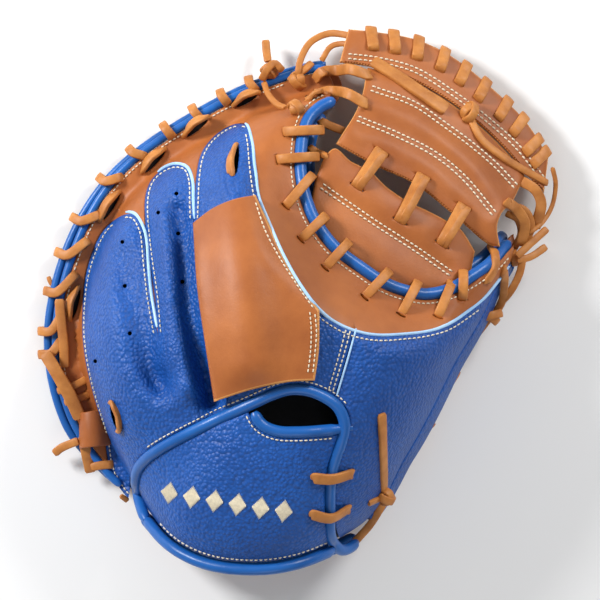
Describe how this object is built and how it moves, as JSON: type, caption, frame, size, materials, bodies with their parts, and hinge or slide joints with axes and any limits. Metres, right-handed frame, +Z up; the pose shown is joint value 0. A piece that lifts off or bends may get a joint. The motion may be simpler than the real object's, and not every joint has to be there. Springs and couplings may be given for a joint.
{
  "type": "baseball catcher's mitt",
  "caption": "Padded catcher's mitt lying pocket down: blue finger backs, tan rim, laced web beside the thumb, bound edges, hand opening under a wrist strap.",
  "frame": {"origin": "middle of the bounding box on the ground that the mitt rests on", "axes": "+Z up, out of the back of the hand; +Y to the finger tips; +X to the thumb and the web"},
  "size_m": [0.2872, 0.3056, 0.1207],
  "materials": {
    "tan_leather": "smooth, oiled",
    "blue_leather": "pebbled",
    "blue_binding": "smooth",
    "light_piping": "smooth",
    "rawhide_lace": "waxed rawhide"
  },
  "bodies": {
    "root": {"outer_back": "tan_leather", "finger_stalls": "blue_leather", "thumb_back": "blue_leather", "wrist_strap": "blue_leather", "index_pad": "tan_leather", "palm_pad": "tan_leather", "web_bar": "tan_leather", "web_upper": "tan_leather", "web_lower": "tan_leather", "rim_binding": "blue_binding", "thumb_binding": "blue_binding", "heel_binding": "blue_binding", "strap_bottom_binding": "blue_binding", "opening_binding": "blue_binding", "strap_top_binding": "blue_binding", "crotch_binding_back": "blue_binding", "crotch_binding_palm": "blue_binding", "back_piping": "light_piping", "rim_lace": "rawhide_lace", "crotch_lace": "rawhide_lace", "web_edge_lace": "rawhide_lace", "finger_tie_1": "rawhide_lace", "finger_tie_2": "rawhide_lace", "finger_tie_3": "rawhide_lace", "finger_tie_4": "rawhide_lace", "finger_tie_5": "rawhide_lace", "index_tie": "rawhide_lace", "little_finger_tie": "rawhide_lace", "strap_tie_1": "rawhide_lace", "strap_tie_2": "rawhide_lace", "web_tie_1": "rawhide_lace", "web_tie_2": "rawhide_lace", "web_tie_3": "rawhide_lace", "web_bar_tie": "rawhide_lace", "side_tie_1": "rawhide_lace", "side_tie_2": "rawhide_lace", "thumb_tie_1": "rawhide_lace", "thumb_tie_2": "rawhide_lace", "heel_lace": "rawhide_lace", "thumb_lace": "rawhide_lace"}
  },
  "joints": []
}
